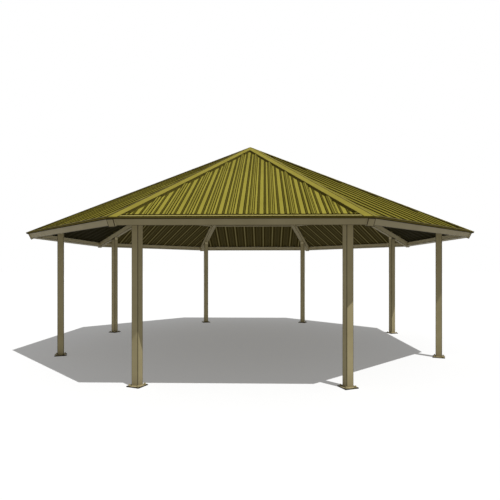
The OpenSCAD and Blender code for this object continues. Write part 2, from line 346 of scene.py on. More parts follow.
drop = place_maths((-2, 3), "SUBTRACT", peak, height)
fall, level = place_maths((-1, 5), "SINE", slope), place_maths((-1, 4), "COSINE", slope)
down = place_maths((1, 2), "ADD", place_maths((0, 3), "MULTIPLY", out, level),
    place_maths((0, 4), "MULTIPLY", drop, fall))
below = place_maths((1, -2), "SUBTRACT", place_maths((0, -1), "MULTIPLY", drop, level),
    place_maths((0, -2), "MULTIPLY", out, fall))
for label, value in (("Across", across), ("Out", out), ("Down", down), ("Below", below),
        ("East", east_share)):
    wire(eighth_place, value, place_out.inputs[label])


def face_place(tree, at):
    """The place finder, set to measure from the middle of each face."""
    return use_group(tree, eighth_place, at, {"Turn": 0.0, "Slope": pitch, "Peak": peak_z})


def hip_place(tree, at):
    """The place finder, set to measure from each hip."""
    return use_group(tree, eighth_place, at, {"Turn": half, "Slope": hip_pitch, "Peak": peak_z})


print("group", eighth_place.name, "with", len(eighth_place.nodes), "nodes")

# %% [markdown]
# ## Shaded corners
# A tube has four long corners, and a line of painted shade runs along each of them. Seen from
# its end, a corner is where a point lies far out both ways at once. The group takes the two
# distances from the middle of the tube and puts out a mask of the corners. A folded trim has the
# same box for its outline, so it can use the group too.

# %% Build the corner mask
corner_shade, corner_in, corner_out = start_group("corner_shade",
    {"First": 0.0, "Second": 0.0, "First Half": 0.06, "Second Half": 0.06, "Strip": 0.01},
    ["Corner"])
near_edges = []
for side, y in (("First", 1), ("Second", -1)):
    distance = size_of(corner_shade, (-3, y), corner_in.outputs[side])
    inside = maths(corner_shade, (-2, y), "SUBTRACT", corner_in.outputs[side + " Half"], distance)
    share = maths(corner_shade, (-1, y), "DIVIDE", inside, corner_in.outputs["Strip"])
    near_edges.append(span(corner_shade, (0, y), share, 1.15, 0.75))
wire(corner_shade, overlap(corner_shade, (1, 0), *near_edges), corner_out.inputs["Corner"])


def corner_mask(tree, at, first, second, halves, strip):
    """A mask of the corners of a box whose half width and half depth are given."""
    made = use_group(tree, corner_shade, at, {"First Half": halves[0], "Second Half": halves[1],
        "Strip": strip})
    wire(tree, first, made.inputs["First"])
    wire(tree, second, made.inputs["Second"])
    return made.outputs["Corner"]


print("group", corner_shade.name, "with", len(corner_shade.nodes), "nodes")

# %% [markdown]
# ## Bands from a colour ramp
# A colour ramp turns a value into a colour. Here it makes bands of grey: two stops with the same
# grey hold it over a stretch, and two stops close together step to the next. Each stop is
# written as its place on the ramp and its grey.

# %% Helper for banded ramps
def banded(tree, at, position, stops):
    """A ramp in greys. The first of its stops lies at 0."""
    ramp = node(tree, "ValToRGB", at)
    wire(tree, position, ramp.inputs["Fac"])
    elements = ramp.color_ramp.elements
    elements.remove(elements[1])
    for number, (spot, grey) in enumerate(stops):
        stop = elements.new(spot) if number else elements[0]
        stop.position, stop.color = spot, (grey, grey, grey, 1)
    return ramp.outputs["Color"]


print("ramp helper ready")

# %% [markdown]
# ## Lines across a roof sheet
# A ribbed sheet is striped: pale pans, and dark lines of painted shade where it folds. The
# distance across the face, divided by the rib spacing, is a whole number in the middle of a pan
# and a half on a rib. Its fraction is turned into a mask of the folds seen from above: a small
# rib in the pan, the left and the right flank of the main rib, and a small rib again. The side
# faces get a simpler set of folds, with three broad bands of painted shade to each rib. Below,
# the light draws a pale line along the middle of each pan, and one in the hollow of each main rib.

# %% Build the sheet lines
# Painted shade: each stop gives how strong the shade of a fold is at that place across a rib.
MINOR_LEFT = [(0.0, 0.0), (0.090, 0.0), (0.100, 0.95), (0.130, 0.95), (0.140, 0.75),
    (0.195, 0.75), (0.205, 0.95), (0.228, 0.95), (0.238, 0.0)]
LEFT_FLANK = [(0.325, 0.0), (0.338, 0.85), (0.385, 0.85), (0.395, 0.12), (0.432, 0.12),
    (0.440, 0.75), (0.465, 0.75), (0.472, 0.15)]
RIGHT_FLANK = [(0.526, 0.15), (0.532, 1.0), (0.562, 1.0), (0.570, 0.05), (0.616, 0.05),
    (0.624, 0.95), (0.660, 0.95), (0.668, 0.0)]
MINOR_RIGHT = [(0.762, 0.0), (0.772, 0.95), (0.795, 0.95), (0.805, 0.75), (0.865, 0.75),
    (0.900, 0.95), (0.910, 0.0)]
FOLDS = MINOR_LEFT + LEFT_FLANK + RIGHT_FLANK + MINOR_RIGHT
SIDE_FOLDS = [(0.0, 0.0), (0.095, 0.0), (0.115, 0.85), (0.225, 0.85), (0.245, 0.0), (0.404, 0.0),
    (0.424, 1.0), (0.576, 1.0), (0.596, 0.0), (0.755, 0.0), (0.775, 0.85), (0.885, 0.85),
    (0.905, 0.0)]
PAN_LINE = [(0.0, 1.0), (0.035, 1.0), (0.055, 0.2), (0.095, 0.2), (0.11, 0.0), (0.23, 0.0),
    (0.25, 0.2), (0.50, 0.2)]

sheet_lines, lines_in, lines_out = start_group("sheet_lines",
    {"Across": 0.0, "Rib Pitch": RIB_PITCH}, ["Fold", "Side Fold", "Pan Line", "Rib Line"])
ribs = maths(sheet_lines, (-4, 0), "DIVIDE", lines_in.outputs["Across"],
    lines_in.outputs["Rib Pitch"])
along_pitch = maths(sheet_lines, (-2, 1), "FRACT", ribs)
nearest_pan = maths(sheet_lines, (-3, -1), "ROUND", ribs)
past_pan = maths(sheet_lines, (-2, -1), "SUBTRACT", ribs, nearest_pan)
from_pan = size_of(sheet_lines, (-1, -1), past_pan)
for label, mask in (("Fold", banded(sheet_lines, (0, 2), along_pitch, FOLDS)),
        ("Side Fold", banded(sheet_lines, (0, 1), along_pitch, SIDE_FOLDS)),
        ("Pan Line", banded(sheet_lines, (0, -1), from_pan, PAN_LINE)),
        ("Rib Line", span(sheet_lines, (0, -2), from_pan, 0.44, 0.46))):
    wire(sheet_lines, mask, lines_out.inputs[label])
print("group", sheet_lines.name, "with", len(FOLDS + SIDE_FOLDS + PAN_LINE), "stops")

# %% [markdown]
# ## Where the caps end
# The wings of a hip cap lie on the ribs of two faces. The place finder measures across a hip
# in plan, so the width of a wing is turned into plan too. The normal of face 1 crossed with the
# line of its hip points straight across the wing.

# %% Measure the caps
hip_lean = atan(cos(pitch) * tan(half))    # between the hip and the middle of a face
hip_line = Vector((sin(half), -cos(half), -SLOPE * cos(half))).normalized()
across_wing = Vector((0, -sin(pitch), cos(pitch))).cross(hip_line)
wing_plan = CAP_WING * abs(across_wing.dot(Vector((cos(half), sin(half), 0))))
peak_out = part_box("peak_cap")[1].y
trim_edge = trim_down - TRIM_FLANGE
print("edges of the caps at", round(wing_plan, 4), "and", round(peak_out, 4))

# %% [markdown]
# ## Olive coil coat
# Coil-coated steel is painted flat before it is rolled: olive yellow above, and a thin backer
# coat below, which is given a dark olive here as painted shade, the underside as it looks in
# shade. Sheets, caps and trim come from the same coil, so they share one recipe. Its low
# refractive index keeps the coat matt at a grazing angle, where a glossy paint would mirror the
# white sky.

# %% Start an olive coat
MATT_IOR = 1.03
# Painted shade: the backer colour is dark olive, the underside as it looks in shade.
SHADED_BACKER = srgb(53, 45, 15)
FOLD_SHADE = srgb(35, 28, 2)
# Painted shade: the colour of the faces at the sides, darker as they turn from the light.
SIDE_SHADE_TONE = srgb(66, 57, 14)


def olive_coat(name, roughness, drift_size, dull, bright):
    """Returns the material, its tree and shader, and a colour that drifts from dull to bright."""
    made, tree, shader = start_material(name, roughness, ior=MATT_IOR)
    grain = use_group(tree, paint_grain, (-4, -2), {"Pebble Size": 0.0012,
        "Drift Size": drift_size})
    bump(tree, (2, -2), grain.outputs["Height"], 0.15, 0.0002, shader)
    tone = span(tree, (-3, -1), grain.outputs["Drift"], 0.3, 0.7)
    return made, tree, shader, blend(tree, (-1, 0), tone, dull, bright)


print("olive coat ready")

# %% [markdown]
# ## Painted shade on a roof sheet
# Painted shade gathers along the edges of the caps, where they lie on the sheet. A line of
# painted shade runs a little above the trim, and lies farther up in a pan than on a rib. The
# faces at the sides are darker with painted shade, more so towards the peak. Each is a mask made
# from the place finder.

# %% Mask the painted shade on the sheet
CAP_SHADE, PEAK_SHADE = (0.022, 0.010), (0.040, 0.020)    # where it ends, and where it is full
# Painted shade: the line above the trim rises over the first span and fades over the second.
TRIM_SHADE_RISE, TRIM_SHADE_FADE = (-0.050, -0.040), (-0.012, 0.004)    # from the upper edge of the trim
RIB_FLANK = (-0.020, -0.010)    # above the plane of the pans
TRIM_SHADE_BACK = 0.080    # how much farther up the painted shade line lies in a pan
SIDE_SHADE_ENDS, SIDE_SHADE_FULL = 3.4, 0.8    # down the slope


def sheet_edges(tree, on_face):
    """Painted shade beside the hip caps and the peak cap, and a painted shade line above the trim.
    """
    from_hip = size_of(tree, (-4, 6), hip_place(tree, (-5, 6)).outputs["Across"])
    beside_cap = span(tree, (-3, 6), from_hip, *(wing_plan + d for d in CAP_SHADE), 0.0, 0.7)
    beside_peak = span(tree, (-3, 5), on_face.outputs["Out"], *(peak_out + d for d in PEAK_SHADE))
    in_pan = span(tree, (-6, 4), on_face.outputs["Below"], *RIB_FLANK)
    shade_line_place = maths(tree, (-4, 4), "ADD", on_face.outputs["Down"],
        maths(tree, (-5, 4), "MULTIPLY", in_pan, TRIM_SHADE_BACK))
    rising_shade = span(tree, (-3, 4), shade_line_place, *(trim_edge + d for d in TRIM_SHADE_RISE))
    fading = span(tree, (-3, 3), shade_line_place, *(trim_edge + d for d in TRIM_SHADE_FADE), 1.0, 0.35)
    trim_shade_line = overlap(tree, (-2, 4), rising_shade, fading)
    return greatest(tree, (-1, 5), beside_cap, beside_peak, trim_shade_line)


def side_shade_mask(tree, on_face, sideways):
    """Painted shade at the sides, stronger towards the peak, and a touch more in the east."""
    at_side = span(tree, (-2, 8), sideways, 0.0, 0.7, 0.2, 0.5)
    high_up = span(tree, (-2, 9), on_face.outputs["Down"], SIDE_SHADE_ENDS, SIDE_SHADE_FULL)
    to_east = span(tree, (-2, 7), on_face.outputs["East"], 0.0, 0.7, 0.0, 0.05)
    return maths(tree, (0, 7), "ADD", to_east, overlap(tree, (-1, 8), at_side, high_up),
        clamp=True)


print("painted shade line", TRIM_SHADE_BACK, "m farther up in a pan")

# %% [markdown]
# ## Roof sheet
# A coated sheet is two colours on one piece of metal, so the normal decides: where a surface
# looks down, it is the backer. Above, the painted shade of the folds and edges is laid over the
# olive. Below, the backer has its pale lines of light, and painted shade makes it darkest under
# the faces straight to the east and west.

# %% Mix the roof sheet
LIT_BACKER, DEEP_UNDERSIDE_SHADE = srgb(126, 117, 78), srgb(30, 28, 18)
SLANT_FACES, STRAIGHT_FACES = (0.5, 0.6), (0.8, 0.95)    # by how much they look east or west

roof_paint, tree, shader, upper = olive_coat("olive_coil_coat", 0.6, 0.7, srgb(147, 138, 57),
    srgb(157, 148, 62))
on_face = face_place(tree, (-5, 1))
lines = use_group(tree, sheet_lines, (-4, 1))
wire(tree, on_face.outputs["Across"], lines.inputs["Across"])
sideways = size_of(tree, (-3, 7), on_face.outputs["East"])
slantwise = span(tree, (-2, 2), sideways, *SLANT_FACES)

fold = blend(tree, (-1, 3), slantwise, lines.outputs["Fold"], lines.outputs["Side Fold"])
shade = greatest(tree, (0, 3), fold, sheet_edges(tree, on_face))
# Painted shade on the side faces, stronger towards the peak.
side_shade = blend(tree, (1, 4), side_shade_mask(tree, on_face, sideways), upper, SIDE_SHADE_TONE)
above = blend(tree, (2, 3), shade, side_shade, FOLD_SHADE)

faint = maths(tree, (-1, 2), "MULTIPLY", slantwise, 0.6)
rib_line = overlap(tree, (0, 2), lines.outputs["Rib Line"], faint)
pale_line = greatest(tree, (1, 2), lines.outputs["Pan Line"], rib_line)
striped = blend(tree, (2, 2), pale_line, SHADED_BACKER, LIT_BACKER)
# Painted shade: the underside is darkest under the faces straight to the east and west.
deep_shade = span(tree, (2, 1), sideways, *STRAIGHT_FACES, 0.0, 0.85)
under = blend(tree, (3, 1), deep_shade, striped, DEEP_UNDERSIDE_SHADE)

wire(tree, blend(tree, (4, 1), looks_down(tree, (3, 2)), above, under),
    shader.inputs["Base Color"])
print("material", roof_paint.name)

# %% [markdown]
# ## Caps
# Caps are folded from flat sheet, so they have no dark rib lines. Their rims are hemmed, and
# the hem gets painted shade. On a hip cap the rim lies at a fixed distance from the hip, and on
# the peak cap at a fixed distance from the middle. A thin dark line of painted shade follows the
# crest of a hip cap, broader on the side hips, and the wings that lie on the side faces are
# darker with painted shade, like the sheets.

# %% Mix the caps
HEM_FAR, HEM_NEAR = 0.014, 0.010    # the shade of the hem starts and is full, from the rim


def cap_coat(name, find_place, label, rim, crest=None):
    """Cap paint, with painted shade at a hem at a distance of rim, and on a crest of half width
    crest.
    """
    made, tree, shader, upper = olive_coat(name, 0.55, 0.4, srgb(140, 130, 54),
        srgb(150, 140, 61))
    place = find_place(tree, (-3, 2))
    away = size_of(tree, (-2, 2), place.outputs[label])
    # Painted shade along the hem and the crest.
    dark = span(tree, (-1, 2), away, rim - HEM_FAR, rim - HEM_NEAR)
    if crest:
        side_hip = size_of(tree, (-4, 4), place.outputs["East"])
        half_wide = span(tree, (-3, 4), side_hip, 0.6, 0.8, crest, 3 * crest)
        past_line = maths(tree, (-2, 3), "SUBTRACT", away, half_wide)
        dark = greatest(tree, (0, 3), dark, span(tree, (-1, 3), past_line, 0.003, 0.0))
    # Painted shade: the wings on the side faces are darker, like the sheets.
    east = face_place(tree, (-3, 5)).outputs["East"]
    side_shade = greatest(tree, (-1, 5), span(tree, (-2, 5), east, 0.0, -0.7, 0.0, 0.8),
        span(tree, (-2, 6), east, 0.0, 0.7, 0.0, 0.3))
    side_shaded = blend(tree, (0, 4), side_shade, upper, SIDE_SHADE_TONE)
    above = blend(tree, (1, 1), dark, side_shaded, FOLD_SHADE)
    wire(tree, blend(tree, (3, 0), looks_down(tree, (2, 2)), above, SHADED_BACKER),
        shader.inputs["Base Color"])
    return made


hip_cap_paint = cap_coat("olive_hip_cap", hip_place, "Across", wing_plan, 0.008)
peak_cap_paint = cap_coat("olive_peak_cap", face_place, "Out", peak_out)
print("materials", hip_cap_paint.name, peak_cap_paint.name)

# %% [markdown]
# ## Screw heads
# The heads are dipped in paint of nearly the same colour. They are small, so their grain is
# fine and their colour changes from one screw to the next.

# %% Mix the screw paint
screw_paint, tree, shader = start_material("olive_screw_head", 0.5, specular=0.3)
grain = use_group(tree, paint_grain, (-2, -1), {"Pebble Size": 0.0006, "Drift Size": 0.02})
wire(tree, blend(tree, (1, 0), grain.outputs["Drift"], srgb(128, 118, 50), srgb(150, 140, 62)),
    shader.inputs["Base Color"])
bump(tree, (2, -2), grain.outputs["Height"], 0.1, 0.0001, shader)
print("material", screw_paint.name)

# %% [markdown]
# ## Eave trim
# The trim is an angle: a flange on the ribs and a face that hangs over the ends of the
# sheets. The face looks outwards and a little down, so it is painted darker, as shade. The
# outline of the angle is shaded with the corner mask, and thin lines of painted shade run along
# both edges of the flange and along the drip edge. On the side faces the flange is darker with
# painted shade, like the sheets above it.

# %% Mix the trim
# Painted shade: the colours of the hanging face and of the flange on the side faces.
SIDE_FLANGE_SHADE, HANGING_FACE_SHADE = srgb(84, 75, 34), srgb(110, 99, 48)
LOW_LINE, HIGH_LINE = (-0.024, -0.018), (0.018, 0.012)    # from both edges of the flange
DRIP_LINE, RIM_STRIP = (-0.016, -0.010), 0.007

trim_paint, tree, shader, upper = olive_coat("olive_eave_trim", 0.6, 0.4, srgb(144, 134, 78),
    srgb(154, 144, 86))
on_face = face_place(tree, (-5, 2))
down, below = on_face.outputs["Down"], on_face.outputs["Below"]

hanging = span(tree, (-1, 4), normal_up(tree, (-2, 4)), 0.5, 0.3)
sideways = size_of(tree, (-3, 8), on_face.outputs["East"])
side_flange_share = span(tree, (-2, 8), sideways, 0.3, 0.6, 0.0, 0.85)
flange = blend(tree, (-1, 8), side_flange_share, upper, SIDE_FLANGE_SHADE)
coat = blend(tree, (0, 1), hanging, flange, HANGING_FACE_SHADE)

from_middle = maths(tree, (-3, 3), "SUBTRACT", down, trim_down - TRIM_FLANGE / 2)
deep = maths(tree, (-3, 2), "ADD", below, cap_level / 2)
rim = corner_mask(tree, (-2, 2), from_middle, deep, (TRIM_FLANGE / 2, cap_level / 2), RIM_STRIP)
low_edge = span(tree, (-1, 6), down, *(trim_down + d for d in LOW_LINE))
high_edge = span(tree, (-1, 5), down, *(trim_edge + d for d in HIGH_LINE))
lying = maths(tree, (0, 4), "SUBTRACT", 1.0, hanging)
flange_lines = overlap(tree, (1, 5), greatest(tree, (0, 5), low_edge, high_edge), lying)
drip_line = overlap(tree, (0, 7), hanging, span(tree, (-1, 7), below, *DRIP_LINE))
# Painted shade along the outline, both edges of the flange and the drip edge.
painted_shade_lines = greatest(tree, (1, 4), rim, flange_lines, drip_line)
wire(tree, blend(tree, (2, 0), painted_shade_lines, coat, FOLD_SHADE), shader.inputs["Base Color"])
print("material", trim_paint.name)

# %% [markdown]
# ## Tan powder coat
# The frame is sprayed with dry paint and baked. The coat is thick and satin, with a pebbled
# skin. Columns, hips and cross tubes share one recipe, and each gets its own copy, because the
# corners of each lie elsewhere. The tubes of the roof take a tint by the way that each side
# faces: painted light makes their upright sides and the sides that look up lighter, and painted
# shade makes the sides that look down darker.

# %% Start a powder coat
OPEN_TAN = (srgb(164, 152, 114), srgb(174, 162, 123))
# Painted light and shade for the tubes of the roof, by the way a side faces.
UNDER_ROOF_LIT_TAN = (srgb(196, 184, 145), srgb(206, 194, 155))
UPWARD_LIT_TAN = (srgb(222, 210, 171), srgb(230, 218, 179))
DOWNWARD_SHADED_TAN = (srgb(145, 134, 100), srgb(153, 142, 108))
UNDERSIDE_SHADED_TAN = (srgb(124, 114, 82), srgb(132, 122, 90))
# Painted shade: the dark line along the corners and rims of the tubes.
EDGE_SHADE = srgb(66, 58, 36)
CORNER_STRIP, EDGE_SHADE_STRENGTH = 0.010, 0.85


def tan_coat(name):
    """Returns the material, its tree and shader, and the drift of its grain as a mask."""
    made, tree, shader = start_material(name, 0.5, specular=0.12)
    grain = use_group(tree, paint_grain, (-4, -1), {"Pebble Size": 0.0018, "Drift Size": 0.35})
    bump(tree, (2, -2), grain.outputs["Height"], 0.2, 0.0003, shader)
    return made, tree, shader, grain.outputs["Drift"]


def drifting_tan(tree, at, drift, tans):
    """A colour that drifts between two tans."""
    return blend(tree, at, span(tree, (at[0] - 1, at[1]), drift, 0.3, 0.7), *tans)


def beam_tan(tree, drift):
    """The colour of a tube of the roof, with painted light and shade by the way each side faces.
    """
    up = normal_up(tree, (-5, -3))
    colour = drifting_tan(tree, (-4, -2), drift, UNDER_ROOF_LIT_TAN)
    for y, (tans, low, high) in enumerate(((UPWARD_LIT_TAN, 0.2, 0.4), (DOWNWARD_SHADED_TAN, -0.2, -0.4),
            (UNDERSIDE_SHADED_TAN, -0.7, -0.85)), 3):
        tint = drifting_tan(tree, (-3, -y), drift, tans)
        colour = blend(tree, (-1, -y), span(tree, (-2, -y), up, low, high), colour, tint)
    return colour


def tube_corners(tree, first, second, width, depth):
    """A mask of the painted shade along the four corners of a tube."""
    made = corner_mask(tree, (0, 3), first, second, (width / 2, depth / 2), CORNER_STRIP)
    return maths(tree, (1, 3), "MULTIPLY", made, EDGE_SHADE_STRENGTH)


steel_paint, tree, shader, drift = tan_coat("tan_powder_coat")
wire(tree, drifting_tan(tree, (-1, 0), drift, OPEN_TAN), shader.inputs["Base Color"])
print("material", steel_paint.name)

# %% [markdown]
# ## Columns
# Rain splashes soil on the feet of the columns, so their lowest 20 cm are duller and browner,
# in patches. The edge of each base plate is darkened with painted shade, and the corners of the
# column carry lines of painted shade. In plan a point is measured from the centre of its column,
# outwards and across.

# %% Mix the column coat
SOIL, PLATE_EDGE_SHADE = srgb(142, 128, 100), srgb(36, 31, 17)
SPLASH_TOP, SPLASH_FULL = 0.22, 0.02
PLATE_SHADE_FAR, PLATE_SHADE_NEAR = 0.010, 0.004    # the painted shade starts and is full, from the plate's edge
column_ring = Vector(anchors[0]["pos_m"][:2]).length

column_paint, tree, shader, drift = tan_coat("tan_column_coat")
place = use_group(tree, eighth_place, (-6, 3), {"Turn": half, "Slope": 0.0, "Peak": 0.0})
outwards = maths(tree, (-4, 3), "SUBTRACT", place.outputs["Out"], column_ring)
across = place.outputs["Across"]
height = maths(tree, (-4, 2), "MULTIPLY", place.outputs["Below"], -1.0)
corners = tube_corners(tree, outwards, across, TUBE_WIDE, TUBE_WIDE)

low_down = span(tree, (-3, 2), height, SPLASH_TOP, SPLASH_FULL)
patches = span(tree, (-3, 1), drift, 0.35, 0.65, 0.1, 0.6)
clean = drifting_tan(tree, (-1, 0), drift, OPEN_TAN)
soiled = blend(tree, (1, 0), overlap(tree, (-1, 2), low_down, patches), clean, SOIL)
corner_shaded = blend(tree, (2, 0), corners, soiled, EDGE_SHADE)

# Painted shade on the edge of each base plate.
farther = greatest(tree, (-3, 5), size_of(tree, (-4, 5), outwards), size_of(tree, (-4, 6), across))
plate_rim = span(tree, (-2, 5), farther, PLATE_HALF - PLATE_SHADE_FAR, PLATE_HALF - PLATE_SHADE_NEAR)
on_plate = span(tree, (-2, 4), height, PLATE_THICK + 0.004, PLATE_THICK + 0.001)
rim = overlap(tree, (-1, 5), plate_rim, on_plate)
wire(tree, blend(tree, (3, 0), rim, corner_shaded, PLATE_EDGE_SHADE), shader.inputs["Base Color"])
print("material", column_paint.name, "for columns", round(column_ring, 3), "m out")

# %% [markdown]
# ## Hips
# A hip tube is closed by a plate at the eave, and a line of painted shade follows the rim of the
# plate as it does the long corners. How far down the hip the plate lies is read from the points
# of the CAD mesh. The top of the tube lies a little under the line where the two roof planes
# meet, because its rounded corners touch the planes.

# %% Mix the hip coat
RIM_FAR, RIM_NEAR = 0.013, 0.009    # the painted shade starts and is full, from the rim of the plate
HIP_TOP = (TUBE_WIDE / 2 - TUBE_CORNER) * tan(hip_fall) + TUBE_CORNER * (1 / cos(hip_fall) - 1)
hip_end = max(-(v.co.x * sin(half) + v.co.y * cos(half)) * cos(hip_pitch)
    + (peak_z - v.co.z) * sin(hip_pitch) for v in parts["hip_beam_1"].data.vertices)

hip_paint, tree, shader, drift = tan_coat("tan_hip_coat")
place = hip_place(tree, (-6, 3))
across = place.outputs["Across"]
deep = maths(tree, (-4, 3), "SUBTRACT", place.outputs["Below"], HIP_TOP + TUBE_DEEP / 2)
corners = tube_corners(tree, across, deep, TUBE_WIDE, TUBE_DEEP)

farther = greatest(tree, (-2, 5), size_of(tree, (-3, 5), across), size_of(tree, (-3, 4), deep))
rim = span(tree, (-1, 5), farther, TUBE_WIDE / 2 - RIM_FAR, TUBE_WIDE / 2 - RIM_NEAR)
at_end = span(tree, (-1, 4), place.outputs["Down"], hip_end - RIM_FAR, hip_end - RIM_NEAR)
# Painted shade along the corners and round the end plate.
painted_shade_lines = greatest(tree, (2, 4), corners, overlap(tree, (0, 5), rim, at_end))
wire(tree, blend(tree, (3, 0), painted_shade_lines, beam_tan(tree, drift), EDGE_SHADE), shader.inputs["Base Color"])
print("material", hip_paint.name, "for hips that end", round(hip_end, 3), "m down")

# %% [markdown]
# ## Cross tubes
# Eave beams and purlins lie straight under the sheets, so the depth below the slope is measured
# from their tops. The purlins are two rings of the same tube, and a point belongs to the nearer
# one.

# %% Mix the coats of the cross tubes
def cross_coat(name, centre_lines, depth):
    """Coat for tubes that cross a face at the given distances down the slope."""
    made, tree, shader, drift = tan_coat(name)
    place = face_place(tree, (-8, 3))
    away = [size_of(tree, (-6, 3 + y), maths(tree, (-7, 3 + y), "SUBTRACT",
        place.outputs["Down"], line)) for y, line in enumerate(centre_lines)]
    nearest = away[0]
    for other in away[1:]:
        nearest = maths(tree, (-5, 3), "MINIMUM", nearest, other)
    deep = maths(tree, (-4, 2), "SUBTRACT", place.outputs["Below"], depth / 2)
    corners = tube_corners(tree, nearest, deep, TUBE_NARROW, depth)
    wire(tree, blend(tree, (3, 0), corners, beam_tan(tree, drift), EDGE_SHADE),
        shader.inputs["Base Color"])
    return made


eave_beam_paint = cross_coat("tan_eave_beam_coat", tube_lines[:1], BEAM_DEEP)
purlin_paint = cross_coat("tan_purlin_coat", tube_lines[1:], PURLIN_DEEP)
print("materials", eave_beam_paint.name, purlin_paint.name)

# %% [markdown]
# ## Foam rubber
# The closures and the sealing washers are foam rubber in the colour of the roof. It is dull,
# lets no light through, and has a coarser grain than paint has.

# %% Mix the foam rubber
rubber, tree, shader = start_material("closure_rubber", 0.85, specular=0.2)
grain = use_group(tree, paint_grain, (-2, 0), {"Pebble Size": 0.003, "Drift Size": 0.05})
wire(tree, blend(tree, (1, 0), grain.outputs["Drift"], srgb(104, 94, 36), srgb(118, 108, 44)),
    shader.inputs["Base Color"])
bump(tree, (2, -2), grain.outputs["Height"], 0.4, 0.0006, shader)
print("material", rubber.name)

# %% [markdown]
# ## Dress the frame
# The CAD pieces have the right shape already, so they only get a material. The first words of
# a node's name tell what it is, and choose the paint. The hub gets the plain powder coat.

# %% Paint the CAD pieces
def paint(piece, material):
    piece.data.materials.clear()
    piece.data.materials.append(material)


PAINTS = {"roof_face": roof_paint, "hip_cap": hip_cap_paint, "peak_cap": peak_cap_paint,
    "eave_trim": trim_paint, "column": column_paint, "hip_beam": hip_paint,
    "eave_beam": eave_beam_paint, "lower_purlins": purlin_paint, "upper_purlins": purlin_paint}
for name, piece in parts.items():
    chosen = [coat for start, coat in PAINTS.items() if name.startswith(start)]
    paint(piece, chosen[0] if chosen else steel_paint)
print("painted", len(parts), "CAD pieces")

# %% [markdown]
# ## Helpers for new pieces
# Every new piece starts as a bmesh, Blender's mesh in memory. Small things that repeat are
# built once as a pattern and then stamped: a copy of the pattern is moved by a matrix and
# added to the piece. The finished object stays at the origin with its place in its mesh.

# %% Helpers for pieces
def pattern(name, bm):
    mesh = bpy.data.meshes.new(name)
    bmesh.ops.recalc_face_normals(bm, faces=bm.faces)
    bm.to_mesh(mesh)
    bm.free()
    return mesh


def stamp(bm, mesh, matrix):
    copy = mesh.copy()
    copy.transform(matrix)
    bm.from_mesh(copy)
    bpy.data.meshes.remove(copy)


def finish_piece(name, bm, materials):
    mesh = bpy.data.meshes.new(name)
    bm.to_mesh(mesh)
    bm.free()
    piece = bpy.data.objects.new(name, mesh)
    scene.collection.objects.link(piece)
    for material in materials:
        mesh.materials.append(material)
    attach(piece, "root")
    print(name, len(mesh.polygons), "faces")


def prism(bm, sides, radius, height, base, top_radius=None, material=0):
    """A many-sided bar standing on Z = base, such as a washer or a bolt head."""
    made = bmesh.ops.create_cone(bm, cap_ends=True, segments=sides, radius1=radius,
        radius2=radius if top_radius is None else top_radius, depth=height,
        matrix=Matrix.Translation((0, 0, base + height / 2)))
    for face in {f for v in made["verts"] for f in v.link_faces}:
        face.material_index = material
    return made["verts"]


# %% [markdown]
# ## Roof screws
# Ribbed sheet is held by self-drilling screws with a hexagonal head and a sealing washer: a
# dished metal disc with a rubber ring under it. The pattern has a few dozen faces, because
# there are hundreds of them.

# %% Model one roof screw
bm = bmesh.new()
prism(bm, 12, 0.0075, 0.0012, 0.0, material=1)    # rubber ring
prism(bm, 12, 0.0080, 0.0014, 0.0012, 0.0055)    # metal disc
prism(bm, 6, 0.0046, 0.0042, 0.0022, 0.0042)    # head
roof_screw = pattern("roof_screw", bm)
print("one roof screw", len(roof_screw.polygons), "faces")

# %% [markdown]
# The screws stand in the pans, close beside each main rib, where the sheet lies flat on a
# tube. They follow the three lines of tube. Where a hip cap covers the sheet there are none.

# %% Screw the sheets down
BESIDE_RIB = 0.055
CAP_MARGIN = 0.01


def rib_lines(limit):
    """Places of the main ribs across a face, out to a limit."""
    count = ceil(limit / RIB_PITCH + 0.5)
    places = [(n + 0.5) * RIB_PITCH for n in range(-count, count)]
    return [x for x in places if abs(x) < limit]


for k in range(1, 9):
    bm = bmesh.new()
    for down in tube_lines:
        hip_across = down * tan(hip_lean)
        for rib in rib_lines(hip_across):
            for x in (rib - BESIDE_RIB, rib + BESIDE_RIB):
                if abs(x) < hip_across - CAP_WING / cos(hip_lean) - CAP_MARGIN:
                    stamp(bm, roof_screw, face_frame(k) @ Matrix.Translation((x, -down, SHEET)))
    finish_piece(f"roof_screws_{k}", bm, [screw_paint, rubber])

# %% [markdown]
# ## Screws along the hips and the eave
# The hip caps are screwed to the tops of the ribs, just inside their edges, and the flange of
# the eave trim is screwed to every rib it crosses. The wings and the flange lie in planes
# parallel to the sheet, so the same face frame serves.

# %% Screw the caps and the trim down
CAP_SCREW_IN, TRIM_SCREW_IN = 0.025, 0.030    # from the edge of a cap, and of the eave


def along_hip(x, inside):
    """Distance down the slope at which a line runs, inside the hip line by a given width."""
    return (x + inside / cos(hip_lean)) / tan(hip_lean)


for k in range(1, 9):
    bm = bmesh.new()
    for rib in rib_lines(eave_out * tan(half)):
        down = along_hip(abs(rib), CAP_WING - CAP_SCREW_IN)
        if down < trim_edge:
            place = Matrix.Translation((rib, -down, cap_level + SHEET))
            stamp(bm, roof_screw, face_frame(k) @ place)
    for rib in rib_lines(eave_out * tan(half) - CAP_WING):
        place = Matrix.Translation((rib, -(trim_down - TRIM_SCREW_IN), cap_level))
        stamp(bm, roof_screw, face_frame(k) @ place)
    finish_piece(f"cap_screws_{k}", bm, [screw_paint, rubber])

# %% [markdown]
# ## Closures under the hip caps
# A cap lies on the ribs, so between two ribs there is a gap as high as a rib. Fitters close
# it with a strip of olive foam, set back from the edge of the cap. Each block is a cube that
# is narrowed at the foot, where the ribs are wider, and then leaned to follow the hip.

# %% Model a closure block and find its place
SET_BACK, FOAM_DEEP = 0.014, 0.020

